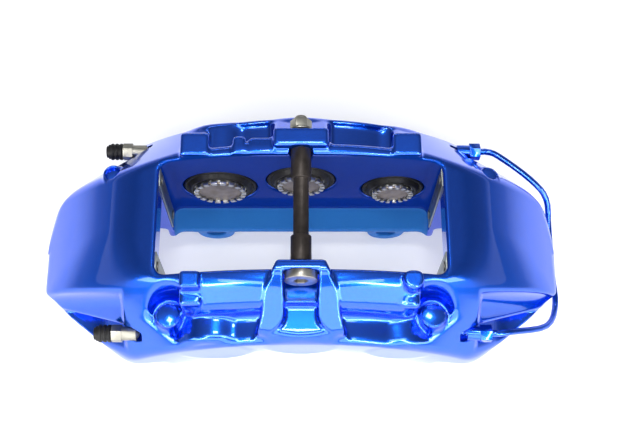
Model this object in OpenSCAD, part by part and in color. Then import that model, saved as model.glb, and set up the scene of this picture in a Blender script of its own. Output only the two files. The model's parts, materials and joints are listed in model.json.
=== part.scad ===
// Fixed monobloc brake caliper with three opposed pairs of pistons.
// X runs along the caliper, +Y points inboard and +Z points out from the disc axis.
// The shapes are drawn around the disc axis and then moved, so that the origin lies midway
// between the two mounting holes, on the inboard seat face of the ears.

/* [Disc and pads] */
// Diameter of the brake disc
disc_d = 380; // [366:1:460]
// Thickness of the brake disc
disc_t = 36; // [28:1:44]
// Gap from the disc to the walls of its slot
disc_gap = 5; // [4:0.5:8]
// Room for one pad, from the disc face to the piston face
pad_depth = 23; // [19:0.5:28]
// Distance between the end walls of the pad window
window_l = 197; // [196:1:240]

/* [Body] */
// Length of each end of the body beyond the window
end_l = 93.5; // [86:0.5:106]
// Height of the crown above the edge of the disc
crown_h = 32; // [28:0.5:40]
// Height of the window rim above the edge of the disc
rim_h = 16; // [12:0.5:20]
// How far the piston centres lie inside the edge of the disc
piston_inset = 33; // [30:0.5:40]
// Wall behind the piston bores
back_wall = 15; // [12:0.5:20]
// Depth of the lip below each pad, towards the disc
lip_depth = 14; // [8:0.5:15]

/* [Pistons] */
// Diameter of the large pistons
large_d = 38; // [32:0.5:42]
// Diameter of the middle pistons
medium_d = 34; // [28:0.5:38]
// Diameter of the small pistons
small_d = 30; // [24:0.5:34]
// Length of each piston
piston_len = 30; // [26:0.5:38]
// How far the pistons stand out of their face at rest
piston_proud = 5; // [3:0.5:6]
// Radial running clearance of a piston in its bore
piston_gap = 0.05; // [0.02:0.01:0.1]
// Radial width of the dust boots
boot_w = 7.5; // [5:0.25:8]
// Section of the square piston seals
seal_w = 3; // [2:0.25:4]

/* [Bridge bolt] */
// Diameter of the bridge bolt shank
bolt_d = 8; // [6:0.5:9]
// Outer diameter of the bridge sleeve at its ends
sleeve_d = 14; // [12:0.5:16]
// Outer diameter of the waist of the sleeve
waist_d = 10.5; // [10.2:0.1:11.5]
// Diameter of the bolt head
head_d = 22; // [18:0.5:23]
// Thickness of the bolt head
head_t = 5.5; // [4:0.5:7]

/* [Mounting and ports] */
// Distance between the two mounting holes
ear_pitch = 134; // [120:1:150]
// Diameter of the mounting holes
ear_hole_d = 14.5; // [12.5:0.5:16]
// Outer diameter of the mounting ears
ear_d = 29; // [26:0.5:34]
// Thickness of the mounting ears
ear_t = 28; // [20:0.5:32]
// Diameter of the threaded fluid ports
port_d = 10; // [8:0.5:12]
// Diameter of the fluid gallery
gallery_d = 5; // [3:0.5:6]
// Outer diameter of the crossover pipe
pipe_d = 4.75; // [4:0.05:6]
// Thickness of the abutment plates
plate_t = 1; // [0.8:0.1:1.5]

/* [Hidden] */

$fn = 96;
eps = 0.01;
far = 400;
slide_fit = 0.05;

// Heights above the disc axis and places along it.
disc_r = disc_d / 2;
slot_r = disc_r + disc_gap;
slot_y = disc_t / 2 + disc_gap;
crown_r = disc_r + crown_h;
rim_z = disc_r + rim_h;
arc_r = disc_r - piston_inset;
face_y = disc_t / 2 + pad_depth;
bore_gap = 3;
bore_y = face_y + piston_len - piston_proud + bore_gap;
half_w = bore_y + back_wall;
edge_r = arc_r + 18;
shoulder = edge_r + half_w;
floor_r = edge_r + 1;
pad_z = arc_r - 51.5;
lip_z = pad_z - lip_depth;
lip_y = face_y - lip_depth;
base_z = lip_z - 5;
end_z = pad_z + 6;
rim_w = 9;
barrel_w = 8.5;
boot_depth = 4.8;
seal_at = 9;
taper_w = 24;
taper_z = 35;

// Places along the length.
window_x = window_l / 2;
end_x = window_x + end_l;
crease_1 = window_x + 23.5;
crease_2 = end_x - 33.5;
boss_x = window_x + 26.5;
lip_x = window_x + 4;
block_x = window_x - 25.2;
knob_x = window_x - 24.5;
large_x = -(window_x - 39.2);
small_x = window_x - 31;
PISTONS = [[large_x, large_d], [0, medium_d], [small_x, small_d]];

// Ears, bolt and ports.
ear_z = lip_z - 14;
ear_inner_y = lip_y + 3;
seat_y = ear_inner_y + ear_t;
bolt_z = rim_z - 3;
outboard_boss_y = face_y - 5;
outboard_seat_y = outboard_boss_y + 7.5;
inboard_boss_y = face_y + 4;
inboard_seat_y = inboard_boss_y + 14;
leg_x = head_d / 2 + 6;
head_room = head_d / 2 + 1;
washer_t = 1.6;
nut_t = 6.5;
port_z = on_circle(arc_r + 35.2, boss_x);
port_r = port_d / 2;
port_len = 14;
hex_r = 6.35;
gallery_y = bore_y + 0.5;
gallery_z = arc_r - 11;
gallery_tilt = atan2(gallery_z - port_z, boss_x);
hose_x = 34;
plug_x = window_x - 8.5;
plug_y = half_w - 20.5;
plug_r = 7.5;
tower_r = 5.5;
plug_t = 4;
tower_x = window_x + 36;
tower_y = half_w - 42.5;

function on_circle(r, x) = sqrt(r * r - x * x);
function mirrored(pts) = concat(pts, [for (i = [len(pts) - 1:-1:0]) [-pts[i][0], pts[i][1]]]);
function arc_z(x) = on_circle(arc_r, x);

// Moves what is drawn around the disc axis into the part's own frame.
module in_frame() translate([0, -seat_y, -ear_z]) children();
module along_x(x0, x1) translate([x0, 0, 0]) rotate([90, 0, 90]) linear_extrude(x1 - x0) children();
module along_y(y0, y1) translate([0, y1, 0]) rotate([90, 0, 0]) linear_extrude(y1 - y0) children();
module about_y() rotate([-90, 0, 0]) rotate_extrude($fn = 180) children();
module box(x0, x1, y0, y1, z0, z1) translate([x0, y0, z0]) cube([x1 - x0, y1 - y0, z1 - z0]);
module rod_y(x, z, r, y0, y1) translate([x, y0, z]) rotate([-90, 0, 0]) cylinder(h = y1 - y0, r = r);
module rod_x(y, z, r, x0, x1) translate([x0, y, z]) rotate([0, 90, 0]) cylinder(h = x1 - x0, r = r);
module rod_z(x, y, r, z0, z1) translate([x, y, z0]) cylinder(h = z1 - z0, r = r);
// side is -1 for the outboard half and 1 for the inboard half.
module on_side(side) mirror([0, side < 0 ? 1 : 0, 0]) children();

// ---- Body ----
module length_outline() polygon(mirrored([
    [-lip_x, base_z], [-lip_x, pad_z - 6], [-end_x + 17, pad_z], [-end_x, end_z],
    [-crease_2, on_circle(crown_r, crease_2)], [-crease_1, on_circle(crown_r, crease_1)],
    [-window_x, rim_z - 12], [-window_x * 0.4, rim_z]]));

module section_outline() {
    low = [[base_z - taper_z, half_w - taper_w], [arc_r - 7, half_w], [edge_r, half_w]];
    half = concat(low, [[crown_r + 1, shoulder - crown_r - 1], [crown_r + 12, 0]]);
    polygon(concat(half, [for (i = [len(half) - 2:-1:0]) [half[i][0], -half[i][1]]]));
}

module plan_outline() polygon(mirrored([
    [-crease_1 - 2, -half_w], [-end_x, -half_w + 51], [-end_x, half_w - 72], [-end_x + 8, half_w - 47],
    [-boss_x - 23.5, half_w - 25], [-boss_x, gallery_y - hex_r - 0.9], [-boss_x, half_w]]));

module block() intersection() {
    along_y(-half_w, half_w) length_outline();
    about_y() section_outline();
    linear_extrude(far) plan_outline();
}

// What lies beyond radius r, between two distances from the disc's middle plane.
module beyond(r, y0, y1) about_y() polygon([[r, y0], [far, y0], [far, y1], [r, y1]]);

module window_space() along_x(-window_x, window_x) polygon([
    [-face_y, far], [-face_y, pad_z], [-lip_y, lip_z], [-lip_y, 0],
    [lip_y, 0], [lip_y, lip_z], [face_y, pad_z], [face_y, far]]);

module outboard_pocket() intersection() {
    beyond(floor_r, -far, -(half_w - 20));
    linear_extrude(far) polygon([[-window_x + 2, -far], [-24, -far], [-24, 0], [-window_x + 2, 0]]);
    linear_extrude(far) polygon([[-window_x + 2, 0], [-window_x + 8, -half_w + 14],
        [-window_x + 34, -half_w + 4], [-48, -half_w], [-40, -far], [0, -far], [0, 0]]);
}

module inboard_pocket(x0, x1) intersection() {
    beyond(floor_r, face_y + rim_w, half_w - 5);
    box(x0, x1, 0, far, 0, far);
}

// The hollow beside each outboard corner, where the bleed screw and the pipe nut sit.
module end_hollow() intersection() {
    about_y() polygon([[crown_r - 13, -half_w + 41], [floor_r - 8, -half_w - 2],
        [floor_r - 8, -far], [far, -far], [far, -half_w + 41]]);
    box(-far, -boss_x + 1, -far, 0, 0, far);
}

module barrels() for (p = PISTONS)
    rod_y(p[0], arc_z(p[0]), p[1] / 2 + barrel_w, -half_w + 2, half_w - 2);

module bolt_boss_outboard() intersection() {
    along_x(-34, 34) polygon([[-outboard_boss_y, bolt_z - 12], [-outboard_boss_y, bolt_z + 8.5],
        [-outboard_seat_y, bolt_z + 9], [-half_w + 5, floor_r + 6], [-half_w + 5, floor_r - 12],
        [-face_y - 12, floor_r - 12], [-face_y, bolt_z - 12]]);
    linear_extrude(far) polygon([[-leg_x, -outboard_boss_y], [leg_x, -outboard_boss_y],
        [leg_x + 13, -half_w + 4], [-leg_x - 13, -half_w + 4]]);
}

module bolt_space() {
    rod_y(0, bolt_z, bolt_d / 2 + 0.3, -half_w, half_w);
    rod_y(0, bolt_z, sleeve_d / 2 + 0.5, face_y - 1, inboard_boss_y);
    rod_y(0, bolt_z, bolt_d + 2.5, inboard_seat_y, half_w);
    translate([0, 0, bolt_z - 13]) linear_extrude(far) polygon([
        [-head_room, -outboard_seat_y], [head_room, -outboard_seat_y],
        [head_room, -half_w + 24], [-head_room, -half_w + 24]]);
    translate([0, 0, floor_r + 8]) linear_extrude(far) polygon([
        [-head_room, -half_w + 24], [head_room, -half_w + 24],
        [head_room + 6, -half_w], [-head_room - 6, -half_w]]);
}

module rim_blocks() {
    box(-block_x - 6.5, -block_x + 6.5, -face_y - 13, -face_y, rim_z - 30, rim_z - 2);
    rod_z(knob_x, -face_y - 6.5, 6.5, rim_z - 30, rim_z - 1);
    for (s = [-1, 1]) box(s * block_x - 10, s * block_x + 10, face_y, face_y + 18, rim_z - 30, rim_z - 3);
    box(-47, -38, face_y, face_y + 14, rim_z - 26, rim_z - 0.5);
    box(-36, -18, face_y, face_y + 13, rim_z - 26, rim_z - 0.5);
    box(-19, 19, inboard_boss_y, inboard_seat_y, bolt_z - 14, bolt_z + 8.5);
}

module ears() for (s = [-1, 1]) {
    rod_y(s * ear_pitch / 2, ear_z, ear_d / 2, ear_inner_y, seat_y);
    along_y(ear_inner_y, seat_y) polygon([
        [s * ear_pitch / 2 - ear_d / 2, ear_z], [s * ear_pitch / 2 + ear_d / 2, ear_z],
        [s * ear_pitch / 2 + ear_d / 2 + 4, base_z + 8], [s * ear_pitch / 2 - ear_d / 2 - 4, base_z + 8]]);
}

module round_bosses() for (s = [-1, 1]) {
    rod_z(s * plug_x, -plug_y, plug_r + 2, floor_r - 40, floor_r - 2);
    rod_z(s * tower_x, tower_y, tower_r + 2, arc_r, arc_r + 12);
}

module piston_bore(x, d) {
    z = arc_z(x);
    r = d / 2;
    rod_y(x, z, r + piston_gap, face_y - 1, bore_y);
    rod_y(x, z, r + boot_w + 0.3, face_y - 1, face_y + boot_depth);
    rod_y(x, z, r + seal_w, face_y + seal_at, face_y + seal_at + seal_w + 0.2);
    translate([x, face_y - 0.5, z]) rotate([-90, 0, 0])
        cylinder(h = 2, r1 = r + boot_w + 2, r2 = r + boot_w);
}

// Each half has one drilling from either end, and the two meet in the middle bore.
module gallery() translate([0, gallery_y, gallery_z]) rotate([0, 90 + gallery_tilt, 0])
    translate([0, 0, 2]) cylinder(h = (boss_x - 3) / cos(gallery_tilt) - 2, r = gallery_d / 2);

module fluid_ports() for (side = [-1, 1], s = [0, 1]) on_side(side) mirror([s, 0, 0]) {
    gallery();
    rod_x(gallery_y, port_z, port_r, boss_x - port_len, boss_x + 5);
}

module hose_port() {
    z = gallery_z - hose_x * tan(gallery_tilt);
    rod_y(hose_x, z, port_r, half_w - 11, half_w + 5);
    rod_y(hose_x, z, gallery_d / 2, gallery_y, half_w);
}

module plug_wells() for (s = [-1, 1]) {
    rod_z(s * plug_x, -plug_y, plug_r, floor_r - 8, far);
    rod_z(s * tower_x, tower_y, tower_r, arc_r + 6, far);
}

module screw_holes() for (s = [0, 1], sy = [-1, 1], z = PLATE_SCREW_Z)
    mirror([s, 0, 0]) rod_x(sy * plate_screw_y, z, screw_r, window_x - 1, window_x + 9);

module caliper_body() color("#1f4fd8") in_frame() difference() {
    union() {
        difference() {
            block();
            window_space();
            for (s = [0, 1]) mirror([s, 0, 0]) outboard_pocket();
            inboard_pocket(20, 66);
            inboard_pocket(-66, -20);
            for (s = [0, 1]) mirror([s, 0, 0]) end_hollow();
        }
        intersection() {
            barrels();
            difference() {
                box(-window_x, window_x, -half_w, half_w, base_z, far);
                window_space();
            }
        }
        bolt_boss_outboard();
        rim_blocks();
        ears();
        round_bosses();
    }
    rod_y(0, 0, slot_r, -slot_y, slot_y);
    bolt_space();
    for (p = PISTONS, side = [-1, 1]) on_side(side) piston_bore(p[0], p[1]);
    for (s = [-1, 1]) rod_y(s * ear_pitch / 2, ear_z, ear_hole_d / 2, 0, far);
    fluid_ports();
    hose_port();
    plug_wells();
    screw_holes();
}

// ---- Pistons ----
crown_wall = 3.2;
slot_w = 2.2;
slot_h = 2.4;
slots = 18;
insert_t = 4;

module piston(side, x, d) color("#b9bcc0") in_frame() on_side(side)
    translate([x, face_y - piston_proud, arc_z(x)]) rotate([-90, 0, 0]) difference() {
        cylinder(h = piston_len, r = d / 2);
        translate([0, 0, -1]) cylinder(h = insert_t + 2.5, r = d / 2 - crown_wall);
        translate([0, 0, -1]) cylinder(h = piston_len - 5, r = d / 2 - crown_wall - 1.6);
        translate([0, 0, piston_proud - 2.6]) rotate_extrude() translate([d / 2 - 0.8, 0]) square([2, 1.8]);
        for (a = [0.5:1:slots]) rotate([0, 0, a * 360 / slots])
            translate([d / 2 - crown_wall - 1, -slot_w / 2, -1]) cube([crown_wall + 2, slot_w, slot_h + 1]);
    }

module insert(side, x, d) color("#8b8178") in_frame() on_side(side)
    translate([x, face_y - piston_proud + 1.5, arc_z(x)]) rotate([-90, 0, 0]) difference() {
        union() {
            cylinder(h = insert_t, r = d / 2 - crown_wall - slide_fit);
            translate([0, 0, insert_t]) cylinder(h = 4, r = d / 2 - crown_wall - 1.6 - slide_fit);
        }
        translate([0, 0, 2]) cylinder(h = 10, r = d / 2 - crown_wall - 4);
    }

module seal(side, x, d) color("#22252a") in_frame() on_side(side)
    translate([x, face_y + seal_at + 0.1, arc_z(x)]) rotate([-90, 0, 0]) rotate_extrude()
        translate([d / 2 + slide_fit / 2, 0]) square([seal_w - slide_fit, seal_w]);

// The boot is drawn at rest, folded into its recess round the piston.
module boot(side, x, d) color("#17181a") in_frame() on_side(side)
    translate([x, face_y + boot_depth, arc_z(x)]) rotate([90, 0, 0]) rotate_extrude()
        translate([d / 2, 0]) polygon([
            [0.3, 0], [boot_w, 0], [boot_w, boot_depth - 0.8], [boot_w - 1, boot_depth],
            [boot_w - 2.5, 3.4], [3.4, 5.8], [2.6, 7],
            [0.3, 7], [0.3, 5], [1.4, 4.6], [1.8, 3.2], [0.3, 2.2]]);

// ---- Abutment plates ----
screw_r = 2;
plate_screw_y = (slot_y + face_y) / 2;
PLATE_SCREW_Z = [pad_z + 8, rim_z - 24];

module plate(side, s) color("#8f9a8e") in_frame() on_side(side) mirror([s < 0 ? 1 : 0, 0, 0]) difference() {
    box(window_x - plate_t, window_x, slot_y + 1, face_y - 0.5, pad_z + 1, rim_z - 16);
    for (z = PLATE_SCREW_Z) rod_x(plate_screw_y, z, screw_r + 0.3, window_x - 3, window_x + 1);
}

module plate_screws() color("#c9ccd1") in_frame() for (sx = [0, 1], sy = [-1, 1], z = PLATE_SCREW_Z)
    mirror([sx, 0, 0]) {
        rod_x(sy * plate_screw_y, z, screw_r - slide_fit, window_x - plate_t - eps, window_x + 8);
        rod_x(sy * plate_screw_y, z, 3.4, window_x - plate_t - 0.8, window_x - plate_t);
    }

// ---- Bridge bolt ----
module bridge_bolt() color("#b8b2a6") in_frame() difference() {
    union() {
        rod_y(0, bolt_z, head_d / 2, -outboard_seat_y - head_t, -outboard_seat_y);
        rod_y(0, bolt_z, bolt_d / 2, -outboard_seat_y - eps, inboard_seat_y + washer_t + nut_t + 3);
    }
    translate([0, -outboard_seat_y - head_t - 1, bolt_z]) rotate([-90, 0, 0]) cylinder(h = 4.5, r = 5, $fn = 6);
}

module bridge_sleeve() color("#2b2724") in_frame() difference() {
    union() {
        rod_y(0, bolt_z, sleeve_d / 2, -outboard_boss_y + slide_fit, -outboard_boss_y + 18);
        rod_y(0, bolt_z, waist_d / 2, -outboard_boss_y + 1, inboard_boss_y - 1);
        rod_y(0, bolt_z, sleeve_d / 2, inboard_boss_y - 22, inboard_boss_y - slide_fit);
    }
    rod_y(0, bolt_z, bolt_d / 2 + 0.1, -far, far);
}

module bridge_washer() color("#c9ccd1") in_frame() difference() {
    rod_y(0, bolt_z, bolt_d, inboard_seat_y, inboard_seat_y + washer_t);
    rod_y(0, bolt_z, bolt_d / 2 + 0.2, 0, far);
}

module bridge_nut() color("#c9ccd1") in_frame() difference() {
    translate([0, inboard_seat_y + washer_t, bolt_z]) rotate([-90, 0, 0])
        cylinder(h = nut_t, r = bolt_d * 0.95, $fn = 6);
    rod_y(0, bolt_z, bolt_d / 2 + slide_fit / 2, 0, far);
}

// ---- Bleed screws ----
module bleed_screw(side) color("#c9ccd1") in_frame() on_side(side)
    translate([-boss_x + port_len - 2, gallery_y, port_z]) rotate([0, -90, 0]) difference() {
        union() {
            cylinder(h = 2, r1 = gallery_d / 2 - 0.6, r2 = port_r - 1);
            translate([0, 0, 2 - eps]) cylinder(h = port_len - 3.5, r = port_r - slide_fit);
            translate([0, 0, port_len - 2]) cylinder(h = 7, r = hex_r, $fn = 6);
            translate([0, 0, port_len]) cylinder(h = 10, r = 3);
            translate([0, 0, port_len + 10 - eps]) cylinder(h = 3, r1 = 3.6, r2 = 2.6);
        }
        translate([0, 0, 5]) cylinder(h = 40, r = 1);
        translate([0, 0, 6.5]) rotate([90, 0, 0]) cylinder(h = 20, r = 1, center = true);
    }

module bleed_cap(side) color("#1b1b1d") in_frame() on_side(side)
    translate([-boss_x - 7.4, gallery_y, port_z]) rotate([0, -90, 0]) difference() {
        union() {
            cylinder(h = 10.5, r = 5.4);
            for (i = [0:1:2]) translate([0, 0, 0.4 + i * 3.2]) cylinder(h = 1.8, r = 6.2);
            cylinder(h = 12, r = 4.4);
        }
        translate([0, 0, -1]) cylinder(h = 10, r = 3.9);
    }

// ---- Crossover pipe ----
PIPE_ROUTE = [
    [boss_x - 5, gallery_y, port_z], [boss_x + 9, gallery_y, port_z], [boss_x + 13, gallery_y, port_z],
    [boss_x + 22, gallery_y - 3, port_z - 1], [end_x - 20, gallery_y - 16.5, port_z - 13],
    [end_x - 6, gallery_y - 27, port_z - 26], [end_x - 2, gallery_y - 45, pad_z - 1],
    [end_x - 2, -12, pad_z - 3], [end_x - 2, 33 - gallery_y, pad_z - 1],
    [end_x - 14, 12 - gallery_y, port_z - 25], [boss_x + 23, 2 - gallery_y, port_z - 3],
    [boss_x + 13, -gallery_y, port_z], [boss_x + 9, -gallery_y, port_z], [boss_x - 5, -gallery_y, port_z]];
pipe_sides = 12;
pipe_steps = 4;

function spline(a, b, c, d, t) = 0.5 * (2 * b + (c - a) * t + (2 * a - 5 * b + 4 * c - d) * t * t
    + (3 * b - a - 3 * c + d) * t * t * t);
function route_point(p, i) = p[max(0, min(len(p) - 1, i))];
function smooth(p) = concat([p[0]], [for (i = [0:len(p) - 2], k = [1:pipe_steps])
    spline(route_point(p, i - 1), p[i], p[i + 1], route_point(p, i + 2), k / pipe_steps)]);
function unit(v) = v / norm(v);
function heading(p, i) = unit(p[min(len(p) - 1, i + 1)] - p[max(0, i - 1)]);

module tube(p, r) {
    last = len(p) - 1;
    rings = [for (i = [0:last], k = [0:pipe_sides - 1])
        let (t = heading(p, i), u = unit(cross(t, [0, 0, 1])), v = cross(t, u), a = k * 360 / pipe_sides)
        p[i] + r * (cos(a) * u + sin(a) * v)];
    sides = [for (i = [0:last - 1], k = [0:pipe_sides - 1])
        let (n = (k + 1) % pipe_sides, row = i * pipe_sides)
        [row + k, row + n, row + pipe_sides + n, row + pipe_sides + k]];
    ends = [[for (k = [pipe_sides - 1:-1:0]) k], [for (k = [0:pipe_sides - 1]) last * pipe_sides + k]];
    polyhedron(rings, concat(sides, ends), convexity = 4);
}

module crossover_pipe() color("#1f4fd8") in_frame() tube(smooth(PIPE_ROUTE), pipe_d / 2);

module pipe_nut(side) color("#2a52c8") in_frame() on_side(side)
    translate([boss_x - 9, gallery_y, port_z]) rotate([0, 90, 0]) difference() {
        union() {
            cylinder(h = 10, r = port_r - slide_fit);
            translate([0, 0, 9 + eps]) cylinder(h = 8, r = hex_r, $fn = 6);
        }
        translate([0, 0, -1]) cylinder(h = 30, r = pipe_d / 2 + 0.1);
    }

// ---- Plugs over the drilled passages ----
module passage_plugs() color("#1f4fd8") in_frame() for (s = [-1, 1]) {
    rod_z(s * plug_x, -plug_y, plug_r - slide_fit, floor_r - 8, floor_r - 8 + plug_t);
    rod_z(s * tower_x, tower_y, tower_r - slide_fit, arc_r + 6, arc_r + 6 + plug_t);
}

caliper_body();
piston(-1, large_x, large_d);  // outboard_piston_large
piston(-1, 0, medium_d);  // outboard_piston_medium
piston(-1, small_x, small_d);  // outboard_piston_small
piston(1, large_x, large_d);  // inboard_piston_large
piston(1, 0, medium_d);  // inboard_piston_medium
piston(1, small_x, small_d);  // inboard_piston_small
insert(-1, large_x, large_d);  // outboard_insert_large
insert(-1, 0, medium_d);  // outboard_insert_medium
insert(-1, small_x, small_d);  // outboard_insert_small
insert(1, large_x, large_d);  // inboard_insert_large
insert(1, 0, medium_d);  // inboard_insert_medium
insert(1, small_x, small_d);  // inboard_insert_small
seal(-1, large_x, large_d);  // outboard_seal_large
seal(-1, 0, medium_d);  // outboard_seal_medium
seal(-1, small_x, small_d);  // outboard_seal_small
seal(1, large_x, large_d);  // inboard_seal_large
seal(1, 0, medium_d);  // inboard_seal_medium
seal(1, small_x, small_d);  // inboard_seal_small
boot(-1, large_x, large_d);  // outboard_boot_large
boot(-1, 0, medium_d);  // outboard_boot_medium
boot(-1, small_x, small_d);  // outboard_boot_small
boot(1, large_x, large_d);  // inboard_boot_large
boot(1, 0, medium_d);  // inboard_boot_medium
boot(1, small_x, small_d);  // inboard_boot_small
plate(-1, -1);  // outboard_plate_left
plate(-1, 1);  // outboard_plate_right
plate(1, -1);  // inboard_plate_left
plate(1, 1);  // inboard_plate_right
plate_screws();
bridge_bolt();
bridge_sleeve();
bridge_washer();
bridge_nut();
bleed_screw(-1);  // outboard_bleed_screw
bleed_screw(1);  // inboard_bleed_screw
bleed_cap(-1);  // outboard_bleed_cap
bleed_cap(1);  // inboard_bleed_cap
crossover_pipe();
pipe_nut(-1);  // outboard_pipe_nut
pipe_nut(1);  // inboard_pipe_nut
passage_plugs();
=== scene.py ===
import json
import math
import bpy
import bmesh
import numpy as np
from mathutils import Matrix, Vector


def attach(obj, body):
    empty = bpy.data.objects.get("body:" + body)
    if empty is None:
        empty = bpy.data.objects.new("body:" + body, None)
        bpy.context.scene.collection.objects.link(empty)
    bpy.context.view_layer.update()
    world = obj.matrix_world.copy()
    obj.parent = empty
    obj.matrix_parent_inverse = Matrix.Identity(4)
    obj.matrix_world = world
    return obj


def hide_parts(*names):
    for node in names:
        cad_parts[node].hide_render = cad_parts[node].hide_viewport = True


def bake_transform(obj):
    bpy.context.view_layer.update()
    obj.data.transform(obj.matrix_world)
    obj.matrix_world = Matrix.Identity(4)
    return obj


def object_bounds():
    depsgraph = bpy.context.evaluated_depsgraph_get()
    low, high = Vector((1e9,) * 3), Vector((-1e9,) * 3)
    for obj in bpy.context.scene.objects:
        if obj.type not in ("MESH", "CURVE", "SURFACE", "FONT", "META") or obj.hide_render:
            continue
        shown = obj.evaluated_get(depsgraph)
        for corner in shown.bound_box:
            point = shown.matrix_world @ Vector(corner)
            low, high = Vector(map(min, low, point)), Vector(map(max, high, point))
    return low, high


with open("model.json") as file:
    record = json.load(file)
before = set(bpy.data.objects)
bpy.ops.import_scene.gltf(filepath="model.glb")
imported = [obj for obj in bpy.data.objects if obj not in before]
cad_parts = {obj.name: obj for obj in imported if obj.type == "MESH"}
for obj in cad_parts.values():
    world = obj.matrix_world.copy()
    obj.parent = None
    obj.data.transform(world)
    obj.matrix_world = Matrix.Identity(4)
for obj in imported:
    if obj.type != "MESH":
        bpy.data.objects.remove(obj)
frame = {"record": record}
cad_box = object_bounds()

# The body is drawn in millimetres around the disc axis, as the CAD model is, and moved at the end.
MM = 0.001
DISC_R, DISC_T, DISC_GAP = 190.0, 36.0, 5.0
SLOT_R, SLOT_Y = DISC_R + DISC_GAP, DISC_T / 2 + DISC_GAP
CROWN_R, RIM_Z, ARC_R = DISC_R + 32, DISC_R + 16, DISC_R - 33
FACE_Y = DISC_T / 2 + 23
BORE_Y = FACE_Y + 28
HALF_W = BORE_Y + 15
EDGE_R = ARC_R + 18
FLOOR_R = EDGE_R + 1
SHOULDER = EDGE_R + HALF_W
PAD_Z = ARC_R - 51.5
LIP_Z, LIP_Y = PAD_Z - 14, FACE_Y - 14
BASE_Z = LIP_Z - 5
WINDOW_X = 98.5
END_X = WINDOW_X + 93.5
CREASE_1, CREASE_2 = WINDOW_X + 23.5, END_X - 33.5
BOSS_X = WINDOW_X + 26.5
SIZES = {"large": (-(WINDOW_X - 39.2), 38.0), "medium": (0.0, 34.0), "small": (WINDOW_X - 31, 30.0)}
BOOT_W, BOOT_DEPTH, BOOT_FOLD = 7.5, 4.8, 7.0
EAR_PITCH, EAR_D, EAR_HOLE_D = 134.0, 29.0, 14.5
EAR_Z, EAR_INNER_Y = LIP_Z - 14, LIP_Y + 3
SEAT_Y = EAR_INNER_Y + 28
BOLT_Z, BOLT_D, SLEEVE_D = RIM_Z - 3, 8.0, 14.0
OUT_BOSS_Y = FACE_Y - 5
OUT_SEAT_Y = OUT_BOSS_Y + 7.5
IN_BOSS_Y = FACE_Y + 4
IN_SEAT_Y = IN_BOSS_Y + 14
PORT_Z, PORT_R, PORT_LEN = ARC_R - 11, 5.0, 14.0
GALLERY_Y = BORE_Y + 0.5
HOSE_X, HOSE_SEAT_R = 34.0, 8.5
PLUG_X, PLUG_Y, PLUG_Z, PLUG_R = WINDOW_X - 8.5, HALF_W - 21, FLOOR_R - 4, 7.2
TOWER_X, TOWER_Y = WINDOW_X + 36, HALF_W - 42.5
BARREL_W = 8.5
# The edges of the CAD pieces are rounded by this much.
EDGE_W = 0.3
BLOCK_X, KNOB_X, FAR_BLOCK_X = -(WINDOW_X - 25.15), WINDOW_X - 24.5, WINDOW_X - 25
LEG_TOP, LEG_FOOT = 16.5, 30.0
BEND_X = WINDOW_X + 50
# The flat facet between each near corner and its end: a, b, c and d in a|x| + by + cz = d.
FACET = (0.625, -0.293, 0.724, 217.3)


def arc_z(x):
    return math.sqrt(ARC_R ** 2 - x ** 2)


def place(x, y, z):
    """A point around the disc axis, in mm, as a point of the part's frame, in metres."""
    return Vector((x, y - SEAT_Y, z - EAR_Z)) * MM


# ---- Distance fields: negative inside, in mm ----
def smax(a, b, k):
    h = np.maximum(k - np.abs(a - b), 0) / k
    return np.maximum(a, b) + h * h * k / 4


def smin(a, b, k):
    return -smax(-a, -b, k)


def cut(a, b, k):
    return smax(a, -b, k)


def line(u, v, a, b):
    """Distance from the line a to b, negative on its right-hand side."""
    du, dv = b[0] - a[0], b[1] - a[1]
    return (-(u - a[0]) * dv + (v - a[1]) * du) / math.hypot(du, dv)


def slab(t, lo, hi):
    return np.abs(t - (lo + hi) / 2) - (hi - lo) / 2


def box(p, x0, x1, y0, y1, z0, z1, k):
    d = smax(slab(p[0], x0, x1), slab(p[1], y0, y1), k)
    return smax(d, slab(p[2], z0, z1), k)


def rod(u, v, t, cu, cv, r, lo, hi, k):
    """A cylinder along t, with rims rounded over k."""
    return smax(np.hypot(u - cu, v - cv) - r, slab(t, lo, hi), k)


def block(p):
    """The outer shape of the body, before its window, pockets and bosses."""
    x, y, z = p
    ax, ay, r = np.abs(x), np.abs(y), np.hypot(x, z)
    crown = [(0, RIM_Z), (WINDOW_X * 0.4, RIM_Z), (WINDOW_X, RIM_Z - 12)]
    crown += [(c, math.sqrt(CROWN_R ** 2 - c ** 2)) for c in (CREASE_1, CREASE_2, END_X)]
    crown.append((END_X - 17, PAD_Z))
    d = line(ax, z, crown[0], crown[1])
    for a, b, k in zip(crown[1:], crown[2:], (5, 4, 5, 9, 4)):
        d = smax(d, line(ax, z, a, b), k)
    under = smin(PAD_Z - z, smax(BASE_Z - z, ax - WINDOW_X - 4, 5), 6)
    d = smax(d, under, 5)
    d = smax(d, (r + ay - SHOULDER) / math.sqrt(2), 4)
    d = smax(d, ay - HALF_W, 4)
    taper = (ay - HALF_W + (ARC_R - 7 - r) * 0.245) / math.hypot(1, 0.245)
    d = smax(d, taper, 9)
    near = smax(line(ax, y, (END_X, -HALF_W + 51), (CREASE_1 + 2, -HALF_W)), ax - END_X, 5)
    near = smax(near, FACET[0] * ax + FACET[1] * y + FACET[2] * z - FACET[3], 3.5)
    bend, corner = (BEND_X, HALF_W - 25), (END_X - 8, HALF_W - 47)
    far = line(ax, y, bend, corner)
    far = smax(far, line(ax, y, corner, (END_X, HALF_W - 72)), 6)
    far = smax(far, line(ax, y, (BOSS_X, HALF_W - 20), bend), 12)
    far = smin(far, ax - BOSS_X, 4)
    return smax(d, np.where(y < 0, near, far), 6)


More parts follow.
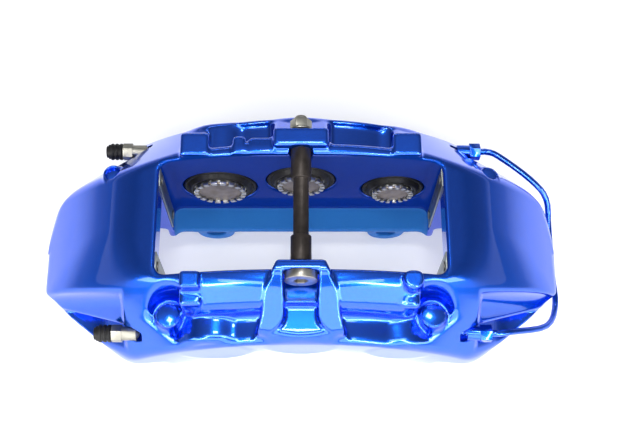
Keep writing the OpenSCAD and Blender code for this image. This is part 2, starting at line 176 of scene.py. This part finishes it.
def pockets(p):
    """The hollows of the outboard face, those round its plugs, and those behind the inboard rim."""
    x, y, z = p
    ax, r = np.abs(x), np.hypot(x, z)
    main = smax(smax(FLOOR_R - r, y + HALF_W - 20, 7), 24 - ax, 4)
    plug = smax(np.hypot(ax - PLUG_X, y + PLUG_Y) - 15, PLUG_Z - 8 - z, 7)
    near = smin(main, plug, 4)
    near = smax(near, line(ax, y, (WINDOW_X + 7.5, -HALF_W + 23), (WINDOW_X - 17.5, -HALF_W + 4.5)), 5)
    near = smax(near, line(ax, y, (WINDOW_X - 17.5, -HALF_W + 4.5), (50, -HALF_W - 3)), 4)
    far = smax(FLOOR_R - 2 - r, slab(y, FACE_Y + 9, HALF_W - 5), 4)
    far = smax(far, slab(ax, 20, 66), 5)
    return smin(near, far, 1)


def end_hollow(p):
    """Two steps down at each near end: a slope under the crown, a ridge, then the screw's groove."""
    x, y, z = p
    ax = np.abs(x)
    top, foot = np.array([CREASE_1 + 2, -HALF_W + 19.5, 149]), np.array([END_X - 18.5, -HALF_W + 40, 113])
    along = (foot - top) / np.linalg.norm(foot - top)
    normal = np.cross(along, (0, 15.5, 11))
    normal /= np.linalg.norm(normal)
    down = np.cross(along, normal)
    off = (ax - top[0], y - top[1], z - top[2])
    above = sum(n * o for n, o in zip(normal, off))
    beyond = sum(n * o for n, o in zip(down, off))
    wall = (y + HALF_W - 37 - 0.227 * (ax - CREASE_1 - 2.5)) / math.hypot(1, 0.227)
    upper = smax(-above, wall, 7)
    groove = smax((133 - 0.9 * (ax - CREASE_1 - 2) - z) / math.hypot(1, 0.9), PAD_Z + 4.5 - z, 8)
    lower = smax(groove, -beyond, 3)
    return smax(smin(upper, lower, 3), BOSS_X - 1 - ax, 2)


def window(p):
    x, y, z = p
    ax, ay = np.abs(x), np.abs(y)
    lip = smin((ay - LIP_Y - (z - LIP_Z)) / math.sqrt(2), ay - LIP_Y, 2)
    return smax(ax - WINDOW_X, smax(ay - FACE_Y, lip, 3), 9)


def bolt_boss(p):
    """The outboard boss of the bridge bolt, which widens towards its foot."""
    x, y, z = p
    ax = np.abs(x)
    d = line(y, z, (-HALF_W + 5, FLOOR_R + 7), (-OUT_SEAT_Y, BOLT_Z + 9))
    d = smax(d, z - BOLT_Z - 8.5, 3)
    d = smax(d, y + OUT_BOSS_Y, 3)
    d = smax(d, -HALF_W + 5 - y, 5)
    d = smax(d, FLOOR_R - 14 - z, 2)
    return smax(d, line(ax, y, (LEG_TOP, -OUT_BOSS_Y), (LEG_FOOT, -HALF_W + 4)), 2.5)


def bolt_space(p):
    """Room for the bolt head between the boss's legs, the bolt, its sleeve and its nut."""
    x, y, z = p
    ax = np.abs(x)
    wall = smax(line(ax, y, (11.7, -OUT_SEAT_Y), (11.3, -HALF_W + 16)), y + OUT_SEAT_Y, 2)
    wall = smin(wall, line(ax, y, (9.5, -HALF_W + 15), (19, -HALF_W + 5)), 3)
    upper = smax(smax(wall, BOLT_Z - 13 - z, 3), -HALF_W + 24 - y, 3)
    lower = smax(smax(wall, FLOOR_R + 6.5 - z, 3), y + HALF_W - 24, 3)
    d = smin(upper, lower, 2)
    d = smin(d, rod(x, z, y, 0, BOLT_Z, SLEEVE_D / 2 + 0.7, FACE_Y - 3, IN_BOSS_Y, 0.5), 0.5)
    d = smin(d, rod(x, z, y, 0, BOLT_Z, 10.5, IN_SEAT_Y, HALF_W - 4, 2), 1)
    return smin(d, rod(x, z, y, 0, BOLT_Z, BOLT_D / 2 + 0.4, -HALF_W, HALF_W, 0.5), 0.5)


def add_bosses(d, p):
    """What stands on the rims, the bolt boss, the plug bosses and the mounting ears."""
    x, y, z = p
    ax = np.abs(x)
    low = RIM_Z - 30
    left, right = BLOCK_X - 6.65, BLOCK_X + 6.65
    d = smin(d, box(p, left, right, -FACE_Y - 12, -FACE_Y + 0.3, low, RIM_Z - 2, 2), 1.5)
    d = smin(d, box(p, -81, -66, -FACE_Y - 21, -FACE_Y - 3, RIM_Z - 40, RIM_Z - 13, 3), 3)
    d = smin(d, rod(x, y, z, KNOB_X, -FACE_Y - 6.3, 6.8, low, RIM_Z - 1, 2), 1.5)
    d = smin(d, box(p, 67, 80, -FACE_Y - 22, -FACE_Y - 3, RIM_Z - 40, RIM_Z - 15, 5), 3)
    for mid in (-FAR_BLOCK_X, FAR_BLOCK_X):
        d = smin(d, box(p, mid - 10, mid + 10, FACE_Y - 0.3, FACE_Y + 18, low, RIM_Z - 3, 3), 3)
    for left, right, depth in ((-47, -38, 14), (-36, -18, 13)):
        d = smin(d, box(p, left, right, FACE_Y, FACE_Y + depth, RIM_Z - 26, RIM_Z - 0.5, 3), 3)
    d = smin(d, box(p, -19, 19, IN_BOSS_Y, IN_SEAT_Y, BOLT_Z - 14, BOLT_Z + 8.5, 3), 3)
    d = smin(d, bolt_boss(p), 4)
    d = smin(d, rod(ax, y, z, PLUG_X, -PLUG_Y, PLUG_R + 1.6, FLOOR_R - 40, PLUG_Z, 2), 3)
    for tower_x, height in ((-TOWER_X, 13), (TOWER_X, 9)):
        d = smin(d, rod(x, y, z, tower_x, TOWER_Y, PLUG_R, ARC_R, ARC_R + height, 2), 3)
    ear = rod(ax, z, y, EAR_PITCH / 2, EAR_Z, EAR_D / 2, EAR_INNER_Y, SEAT_Y, 2)
    web = box((ax, y, z), EAR_PITCH / 2 - 14, EAR_PITCH / 2 + 14, EAR_INNER_Y, SEAT_Y, EAR_Z, BASE_Z + 8, 2)
    return smin(d, smin(ear, web, 2), 8)


def cut_holes(d, p):
    """The disc slot and every bore, port and well."""
    x, y, z = p
    ax, ay = np.abs(x), np.abs(y)
    d = cut(d, rod(x, z, y, 0, 0, SLOT_R, -SLOT_Y, SLOT_Y, 3), 2)
    d = cut(d, bolt_space(p), 2)
    for cx, dia in SIZES.values():
        cz, r = arc_z(cx), dia / 2
        radius = np.hypot(x - cx, z - cz)
        d = cut(d, smax(radius - r - 0.4, slab(ay, 0, BORE_Y), 1), 0.6)
        d = cut(d, smax(radius - r - BOOT_W - 0.3, slab(ay, 0, FACE_Y + BOOT_DEPTH), 1), 0.6)
        cone = (radius - r - BOOT_W - 1.8 + (ay - FACE_Y)) / math.sqrt(2)
        d = cut(d, smax(cone, FACE_Y - 3 - ay, 0.5), 0.8)
    d = cut(d, rod(ax, z, y, EAR_PITCH / 2, EAR_Z, EAR_HOLE_D / 2, 0, SEAT_Y + 9, 0.5), 1.4)
    d = cut(d, rod(ay, z, ax, GALLERY_Y, PORT_Z, PORT_R + 0.2, BOSS_X - PORT_LEN, BOSS_X + 5, 0.5), 1)
    d = cut(d, rod(x, z, y, HOSE_X, PORT_Z, PORT_R, HALF_W - 11, HALF_W + 5, 0.5), 1.4)
    d = cut(d, rod(x, z, y, HOSE_X, PORT_Z, HOSE_SEAT_R, HALF_W - 0.8, HALF_W + 5, 0.3), 0.4)
    d = cut(d, rod(ax, y, z, PLUG_X, -PLUG_Y, PLUG_R + 0.1, FLOOR_R - 8, 400, 0.5), 1)
    return cut(d, rod(ax, y, z, TOWER_X, TOWER_Y, PLUG_R - 1.9, ARC_R + 6, 400, 0.5), 1)


def body_field(x, y, z):
    p = (x, y, z)
    ay = np.abs(y)
    d = block(p)
    d = cut(d, pockets(p), 5)
    d = cut(d, end_hollow(p), 3)
    for cx, dia in SIZES.values():
        hump = rod(x, z, ay, cx, arc_z(cx), dia / 2 + BARREL_W, FACE_Y, HALF_W - 2, 7)
        d = smin(d, smax(hump, BASE_Z + 4 - z, 3), 3)
    d = add_bosses(d, p)
    d = cut(d, window(p), 3)
    boss = smax(bolt_boss(p), -OUT_BOSS_Y - 9 - y, 2)
    d = smin(d, boss, 2)
    return cut_holes(d, p)


# ---- Meshing ----
CHUNK = 200000


def sample(field, pts):
    out = np.empty(len(pts), np.float32)
    for i in range(0, len(pts), CHUNK):
        q = pts[i:i + CHUNK].astype(np.float32)
        out[i:i + CHUNK] = field(q[:, 0], q[:, 1], q[:, 2])
    return out


def gradient(field, pts, step=0.25):
    g = np.empty((len(pts), 3))
    for axis in range(3):
        e = np.zeros(3)
        e[axis] = step
        g[:, axis] = sample(field, pts + e) - sample(field, pts - e)
    return g / (2 * step)


def near_grid(field, lo, hi, h, n=6):
    """The field on a grid of step h, worked out only in blocks of n cells that the surface may cross."""
    blocks = np.ceil((hi - lo) / (h * n)).astype(int)
    mid = [lo[i] + (np.arange(blocks[i]) + 0.5) * h * n for i in range(3)]
    centres = np.stack(np.meshgrid(*mid, indexing="ij"), -1).reshape(-1, 3)
    coarse = sample(field, centres).reshape(blocks)
    grid = np.repeat(np.repeat(np.repeat(coarse, n, 0), n, 1), n, 2)
    near = np.abs(coarse) < h * n * 1.15
    fine = np.repeat(np.repeat(np.repeat(near, n, 0), n, 1), n, 2)
    index = np.argwhere(fine)
    grid[fine] = sample(field, lo + index * h)
    return grid


def surface_net(grid, lo, h):
    """Quads through the cells where the grid changes sign."""
    inside = grid < 0
    dims = np.array(grid.shape) - 1
    corner = [(i, j, k) for i in (0, 1) for j in (0, 1) for k in (0, 1)]
    count = sum(inside[i:i + dims[0], j:j + dims[1], k:k + dims[2]].astype(np.int8) for i, j, k in corner)
    cells = np.argwhere((count > 0) & (count < 8))
    order = np.full(dims, -1, np.int64)
    order[tuple(cells.T)] = np.arange(len(cells))
    total, hits = np.zeros((len(cells), 3)), np.zeros(len(cells))
    for axis in range(3):
        others = [a for a in range(3) if a != axis]
        for da in (0, 1):
            for db in (0, 1):
                a = cells.copy()
                a[:, others[0]] += da
                a[:, others[1]] += db
                b = a.copy()
                b[:, axis] += 1
                va, vb = grid[tuple(a.T)], grid[tuple(b.T)]
                cross = (va < 0) != (vb < 0)
                t = np.where(cross, va / np.where(cross, va - vb, 1), 0)
                point = a.astype(float)
                point[:, axis] += t
                total[cross] += point[cross]
                hits[cross] += 1
    points = lo + total / hits[:, None] * h
    quads = []
    for axis in range(3):
        u, v = [(1, 2), (2, 0), (0, 1)][axis]
        a, b = [slice(None)] * 3, [slice(None)] * 3
        a[axis], b[axis] = slice(0, -1), slice(1, None)
        edge = np.argwhere(inside[tuple(a)] != inside[tuple(b)])
        edge = edge[(edge[:, u] > 0) & (edge[:, v] > 0)]
        edge = edge[(edge[:, u] < dims[u]) & (edge[:, v] < dims[v])]
        ring = []
        for du, dv in ((-1, -1), (0, -1), (0, 0), (-1, 0)):
            c = edge.copy()
            c[:, u] += du
            c[:, v] += dv
            ring.append(order[tuple(c.T)])
        quad = np.stack(ring, 1)
        flip = ~inside[tuple(edge.T)]
        quad[flip] = quad[flip][:, ::-1]
        quads.append(quad)
    return points, np.concatenate(quads)


def settle(field, pts, rounds=3):
    """Moves points onto the surface along the field's gradient."""
    for _ in range(rounds):
        g = gradient(field, pts)
        size = np.maximum((g * g).sum(1), 0.2)
        pts = pts - g * (sample(field, pts) / size)[:, None] * 0.9
    return pts


def mesh_object(name, points, faces):
    mesh = bpy.data.meshes.new(name)
    mesh.vertices.add(len(points))
    mesh.vertices.foreach_set("co", np.asarray(points, np.float32).ravel())
    mesh.loops.add(faces.size)
    mesh.loops.foreach_set("vertex_index", faces.ravel().astype(np.int32))
    mesh.polygons.add(len(faces))
    mesh.polygons.foreach_set("loop_start", np.arange(0, faces.size, faces.shape[1], dtype=np.int32))
    mesh.update(calc_edges=True)
    mesh.validate()
    obj = bpy.data.objects.new(name, mesh)
    bpy.context.scene.collection.objects.link(obj)
    return obj


def apply_modifiers(obj):
    graph = bpy.context.evaluated_depsgraph_get()
    mesh = bpy.data.meshes.new_from_object(obj.evaluated_get(graph))
    obj.modifiers.clear()
    obj.data = mesh


def read_points(mesh):
    flat = np.empty(len(mesh.vertices) * 3, np.float32)
    mesh.vertices.foreach_get("co", flat)
    return flat.reshape(-1, 3).astype(float)


def field_object(name, field, lo, hi, h, keep):
    """A mesh of the field's surface with the field's own normals; keep is the share of triangles kept."""
    lo, hi = np.array(lo, float), np.array(hi, float)
    points, quads = surface_net(near_grid(field, lo, hi, h), lo, h)
    obj = mesh_object(name, settle(field, points), quads)
    if keep < 1:
        thin = obj.modifiers.new("thin", "DECIMATE")
        thin.ratio = keep
        apply_modifiers(obj)
    mesh = obj.data
    points = settle(field, read_points(mesh), 1)
    normals = gradient(field, points)
    normals /= np.maximum(np.linalg.norm(normals, axis=1), 1e-6)[:, None]
    shift = np.array([0, -SEAT_Y, -EAR_Z])
    mesh.vertices.foreach_set("co", ((points + shift) * MM).astype(np.float32).ravel())
    mesh.update()
    mesh.polygons.foreach_set("use_smooth", np.ones(len(mesh.polygons), bool))
    mesh.normals_split_custom_set_from_vertices(normals.astype(np.float32))
    return obj


def make_body():
    step, keep = ((1.3, 0.45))
    lo = (-END_X - 4, -HALF_W - 4, EAR_Z - EAR_D / 2 - 4)
    hi = (END_X + 4, HALF_W + 4, BOLT_Z + 14)
    body = field_object("body_shell", body_field, lo, hi, step, keep)
    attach(body, "caliper")
    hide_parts("caliper_body")
    return body


# ---- Materials ----
def new_material(name, color, metallic, roughness, coat=0.0, coat_roughness=0.03):
    mat = bpy.data.materials.new(name)
    mat.use_nodes = True
    shader = mat.node_tree.nodes["Principled BSDF"]
    shader.inputs["Base Color"].default_value = (*color, 1)
    shader.inputs["Metallic"].default_value = metallic
    shader.inputs["Roughness"].default_value = roughness
    shader.inputs["Coat Weight"].default_value = coat
    shader.inputs["Coat Roughness"].default_value = coat_roughness
    return mat, mat.node_tree, shader


def noise(tree, scale, detail=3.0):
    coords = tree.nodes.new("ShaderNodeTexCoord")
    tex = tree.nodes.new("ShaderNodeTexNoise")
    tex.inputs["Scale"].default_value = scale
    tex.inputs["Detail"].default_value = detail
    tree.links.new(coords.outputs["Object"], tex.inputs["Vector"])
    return tex.outputs["Fac"]


def ramp(tree, source, stops):
    node = tree.nodes.new("ShaderNodeValToRGB")
    while len(node.color_ramp.elements) < len(stops):
        node.color_ramp.elements.new(0.5)
    for element, (at, color) in zip(node.color_ramp.elements, stops):
        element.position = at
        element.color = (*color, 1)
    tree.links.new(source, node.inputs["Fac"])
    return node.outputs["Color"]


def spread(tree, source, low, high):
    node = tree.nodes.new("ShaderNodeMapRange")
    node.inputs["To Min"].default_value = low
    node.inputs["To Max"].default_value = high
    tree.links.new(source, node.inputs["Value"])
    return node.outputs["Result"]


def mixed(tree, amount, first, second):
    node = tree.nodes.new("ShaderNodeMix")
    node.data_type = "RGBA"
    tree.links.new(amount, node.inputs["Factor"])
    tree.links.new(first, node.inputs[6])
    tree.links.new(second, node.inputs[7])
    return node.outputs[2]


def compute(tree, operation, *values):
    node = tree.nodes.new("ShaderNodeMath")
    node.operation = operation
    for socket, value in zip(node.inputs, values):
        if isinstance(value, (int, float)):
            socket.default_value = value
        else:
            tree.links.new(value, socket)
    return node.outputs["Value"]


def bump(tree, shader, source, strength, distance):
    node = tree.nodes.new("ShaderNodeBump")
    node.inputs["Strength"].default_value = strength
    node.inputs["Distance"].default_value = distance
    tree.links.new(source, node.inputs["Height"])
    tree.links.new(node.outputs["Normal"], shader.inputs["Normal"])


def in_window(tree):
    """Two masks: 1 on the faces inside the pad window, and 1 on the lips at their foot."""
    coords = tree.nodes.new("ShaderNodeTexCoord")
    split = tree.nodes.new("ShaderNodeSeparateXYZ")
    tree.links.new(coords.outputs["Object"], split.inputs["Vector"])
    across = compute(tree, "COMPARE", split.outputs["Y"], -SEAT_Y * MM, (FACE_Y + 0.8) * MM)
    along = compute(tree, "COMPARE", split.outputs["X"], 0.0, (WINDOW_X - 0.5) * MM)
    below = compute(tree, "LESS_THAN", split.outputs["Z"], (RIM_Z - EAR_Z - 4) * MM)
    low = compute(tree, "LESS_THAN", split.outputs["Z"], (PAD_Z - EAR_Z) * MM)
    inner = compute(tree, "MULTIPLY", compute(tree, "MULTIPLY", across, along), below)
    return inner, compute(tree, "MULTIPLY", inner, low)


def blue_paint():
    """Candy lacquer: a fine metallic flake under clear coat, with less coat and duller inside the window,
    where the walls get painted shade and the lips a painted highlight.
    """
    mat, tree, shader = new_material("blue_paint", (0.003, 0.08, 0.62), 0.92, 0.3, 1.0, 0.03)
    shader.inputs["Coat IOR"].default_value = 1.5
    shader.inputs["Specular Tint"].default_value = (0.3, 0.45, 1.0, 1)
    inner, lip = in_window(tree)
    flake = noise(tree, 2600, 1)
    # The lips get a lighter, more azure copy of the paint, a painted highlight for the light they catch;
    # the walls inside the window get a darker copy of it, painted shade.
    deep = ramp(tree, flake, [(0.3, (0.002, 0.065, 0.52)), (0.7, (0.006, 0.12, 0.74))])
    thin = ramp(tree, flake, [(0.3, (0.02, 0.17, 0.5)), (0.7, (0.04, 0.24, 0.64))])
    shade = ramp(tree, flake, [(0.3, (0.002, 0.035, 0.27)), (0.7, (0.004, 0.065, 0.4))])
    painted = mixed(tree, lip, mixed(tree, inner, deep, shade), thin)
    tree.links.new(painted, shader.inputs["Base Color"])
    tree.links.new(spread(tree, lip, 0.92, 0.35), shader.inputs["Metallic"])
    rough = spread(tree, noise(tree, 90), 0.2, 0.28)
    rough = compute(tree, "ADD", rough, compute(tree, "MULTIPLY", inner, 0.3))
    tree.links.new(rough, shader.inputs["Roughness"])
    tree.links.new(spread(tree, inner, 1.0, 0.15), shader.inputs["Coat Weight"])
    bump(tree, shader, noise(tree, 420, 2), 0.02, 0.0004)
    return mat


def metal(name, color, roughness, grain=0.05, tint=0.12, coat=0.0, metallic=1.0):
    mat, tree, shader = new_material(name, color, metallic, roughness, coat, 0.1)
    dark = tuple(c * (1 - tint) for c in color)
    light = tuple(min(1, c * (1 + tint)) for c in color)
    tree.links.new(ramp(tree, noise(tree, 160), [(0.3, dark), (0.7, light)]), shader.inputs["Base Color"])
    low, high = roughness * 0.75, min(1, roughness * 1.3)
    tree.links.new(spread(tree, noise(tree, 700), low, high), shader.inputs["Roughness"])
    bump(tree, shader, noise(tree, 2400, 1), grain, 0.0003)
    return mat


def rubber():
    mat, tree, shader = new_material("black_rubber", (0.006, 0.006, 0.007), 0.0, 0.6)
    shader.inputs["Specular IOR Level"].default_value = 0.25
    color = ramp(tree, noise(tree, 120), [(0.35, (0.004, 0.004, 0.005)), (0.7, (0.012, 0.011, 0.011))])
    tree.links.new(color, shader.inputs["Base Color"])
    tree.links.new(spread(tree, noise(tree, 300), 0.38, 0.62), shader.inputs["Roughness"])
    bump(tree, shader, noise(tree, 1500, 2), 0.1, 0.0003)
    return mat


def make_materials():
    mats = {
        "blue_paint": blue_paint(),
        "black_rubber": rubber(),
        "piston_metal": metal("piston_metal", (0.5, 0.49, 0.46), 0.34),
        "insert_metal": metal("insert_metal", (0.33, 0.28, 0.24), 0.5, 0.12, 0.2),
        "zinc_steel": metal("zinc_steel", (0.3, 0.29, 0.25), 0.4),
        "plate_steel": metal("plate_steel", (0.36, 0.38, 0.34), 0.38),
        "bolt_steel": metal("bolt_steel", (0.36, 0.34, 0.3), 0.4, 0.08, 0.25),
        "black_sleeve": metal("black_sleeve", (0.035, 0.028, 0.024), 0.42, 0.1, 0.3, metallic=0.6),
    }
    mats["seal_rubber"] = mats["black_rubber"]
    return mats


# ---- Pieces made from CAD nodes, with broken edges ----
def slot_of(node):
    return next(s["material_slot"] for s in frame["record"]["subparts"] if s["node"] == node)


def body_with(node):
    bodies = frame["record"]["behaviour"]["bodies"]
    return next(name for name, nodes in bodies.items() if node in nodes)


def broken_edges(node, width, mats):
    """A copy of the CAD node's mesh whose sharp edges are rounded, which stands for the node."""
    mesh = bpy.data.objects[node].data.copy()
    bm = bmesh.new()
    bm.from_mesh(mesh)
    bmesh.ops.remove_doubles(bm, verts=bm.verts, dist=1e-6)
    bmesh.ops.dissolve_limit(bm, angle_limit=math.radians(1.0), verts=bm.verts, edges=bm.edges)
    bm.to_mesh(mesh)
    bm.free()
    mesh.materials.clear()
    mesh.materials.append(mats[slot_of(node)])
    mesh.polygons.foreach_set("use_smooth", np.ones(len(mesh.polygons), bool))
    piece = bpy.data.objects.new(node + "_part", mesh)
    bpy.context.scene.collection.objects.link(piece)
    edge = piece.modifiers.new("edge", "BEVEL")
    edge.width = width * MM
    edge.segments = 2
    edge.limit_method = "ANGLE"
    edge.angle_limit = math.radians(35)
    edge.harden_normals = True
    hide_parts(node)
    return piece


def ride_or_stretch(piece, node):
    """A dust boot keeps its place, with its rounded edges and its place baked into its mesh; anything else
    rides its body.
    """
    side, kind, size = node.split("_") if node.count("_") == 2 else ("", "", "")
    if kind != "boot":
        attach(piece, body_with(node))
        return
    apply_modifiers(piece)
    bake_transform(piece)


# ---- Scene ----
CAMERA_TILT, CAMERA_AWAY, CAMERA_LENS = 69.5, 0.7, 59.06
FLOOR_GAP = 0.0002


def add_camera():
    """The photograph's view: high above the window, looking along +Y and down."""
    tilt = math.radians(CAMERA_TILT)
    data = bpy.data.cameras.new("camera")
    data.sensor_width = 36
    data.lens = CAMERA_LENS
    data.shift_x = 0.0297
    data.clip_end = 10
    camera = bpy.data.objects.new("camera", data)
    bpy.context.scene.collection.objects.link(camera)
    target = place(0, -8.75, 205)
    camera.location = target - Vector((0, math.cos(tilt), -math.sin(tilt))) * CAMERA_AWAY
    camera.rotation_euler = (math.radians(90) - tilt, 0, 0)
    bpy.context.scene.camera = camera
    bpy.context.scene.view_settings.view_transform = "Standard"


def add_area(name, at, target, size, power, color=(1, 1, 1)):
    data = bpy.data.lights.new(name, "AREA")
    data.shape = "RECTANGLE"
    data.size, data.size_y = size
    data.energy = power
    data.color = color
    light = bpy.data.objects.new(name, data)
    light.location = at
    aim = Vector(target) - Vector(at)
    light.rotation_euler = aim.to_track_quat("-Z", "Y").to_euler()
    bpy.context.scene.collection.objects.link(light)
    return light


def add_floor(z):
    """A pale sweep that glows, with a painted pool of light: bright round the part and greyer further off.
    """
    mesh = bpy.data.meshes.new("floor")
    half = 6.0
    corners = [(-half, -half, z), (half, -half, z), (half, half, z), (-half, half, z)]
    mesh.from_pydata(corners, [], [(0, 1, 2, 3)])
    floor = bpy.data.objects.new("floor", mesh)
    bpy.context.scene.collection.objects.link(floor)
    mat, tree, shader = new_material("floor", (0.9, 0.9, 0.9), 0.0, 0.8)
    coords = tree.nodes.new("ShaderNodeTexCoord")
    away = tree.nodes.new("ShaderNodeVectorMath")
    away.operation = "DISTANCE"
    away.inputs[1].default_value = (0, -0.25, z)
    tree.links.new(coords.outputs["Object"], away.inputs[0])
    reach = spread(tree, away.outputs["Value"], 0.0, 0.5)
    # Painted pool of light: the floor's colour, which it also glows with, fades from near white round the
    # part to dark grey far off.
    stops = [(0.27, (0.77, 0.77, 0.77)), (0.5, (0.27, 0.27, 0.28)), (1.0, (0.1, 0.1, 0.105))]
    color = ramp(tree, reach, stops)
    tree.links.new(color, shader.inputs["Base Color"])
    tree.links.new(color, shader.inputs["Emission Color"])
    shader.inputs["Emission Strength"].default_value = 0.4
    mesh.materials.append(mat)


def dark_room():
    """A dim room, lighter at the horizon and overhead, so that the paint's reflections stay deep."""
    world = bpy.data.worlds.new("studio")
    world.use_nodes = True
    tree = world.node_tree
    coords = tree.nodes.new("ShaderNodeTexCoord")
    split = tree.nodes.new("ShaderNodeSeparateXYZ")
    tree.links.new(coords.outputs["Generated"], split.inputs["Vector"])
    stops = [(0.0, (0.3, 0.31, 0.34)), (0.12, (0.08, 0.085, 0.1))]
    stops += [(0.5, (0.05, 0.055, 0.065)), (0.95, (0.14, 0.15, 0.17))]
    color = ramp(tree, split.outputs["Z"], stops)
    tree.links.new(color, tree.nodes["Background"].inputs["Color"])
    tree.nodes["Background"].inputs["Strength"].default_value = 2.4
    bpy.context.scene.world = world


def aimed(centre, azimuth, elevation, distance):
    """A place seen from centre at that bearing (0 is towards the camera's side) and height angle."""
    a, e = math.radians(azimuth), math.radians(elevation)
    return centre + Vector((math.sin(a) * math.cos(e), -math.cos(a) * math.cos(e), math.sin(e))) * distance


def add_lights():
    centre = place(0, 0, 150)
    add_area("front_box", aimed(centre, 0, 21, 1.5), centre, (2.4, 1.05), 26)
    add_area("high_box", aimed(centre, 0, 66, 1.6), centre, (1.6, 0.45), 13)
    add_area("left_box", aimed(centre, -48, 14, 1.6), centre, (0.8, 0.5), 7)
    add_area("right_box", aimed(centre, 48, 14, 1.6), centre, (0.8, 0.5), 7)
    add_area("left_strip", aimed(centre, -33, 38, 1.4), centre, (0.1, 0.9), 7)
    add_area("right_strip", aimed(centre, 33, 38, 1.4), centre, (0.1, 0.9), 7)
    add_area("back_strip", aimed(centre, 180, 24, 1.6), centre, (1.6, 0.15), 3)
    add_area("top_spot", aimed(centre, 180, 86, 1.4), centre, (0.3, 0.3), 6)
    dark_room()


def main():
    add_camera()
    mats = make_materials()
    body = make_body()
    body.data.materials.append(mats["blue_paint"])
    for row in frame["record"]["subparts"]:
        node = row["node"]
        if node != "caliper_body":
            ride_or_stretch(broken_edges(node, EDGE_W, mats), node)
    add_floor(cad_box[0][2] - FLOOR_GAP)
    add_lights()


main()
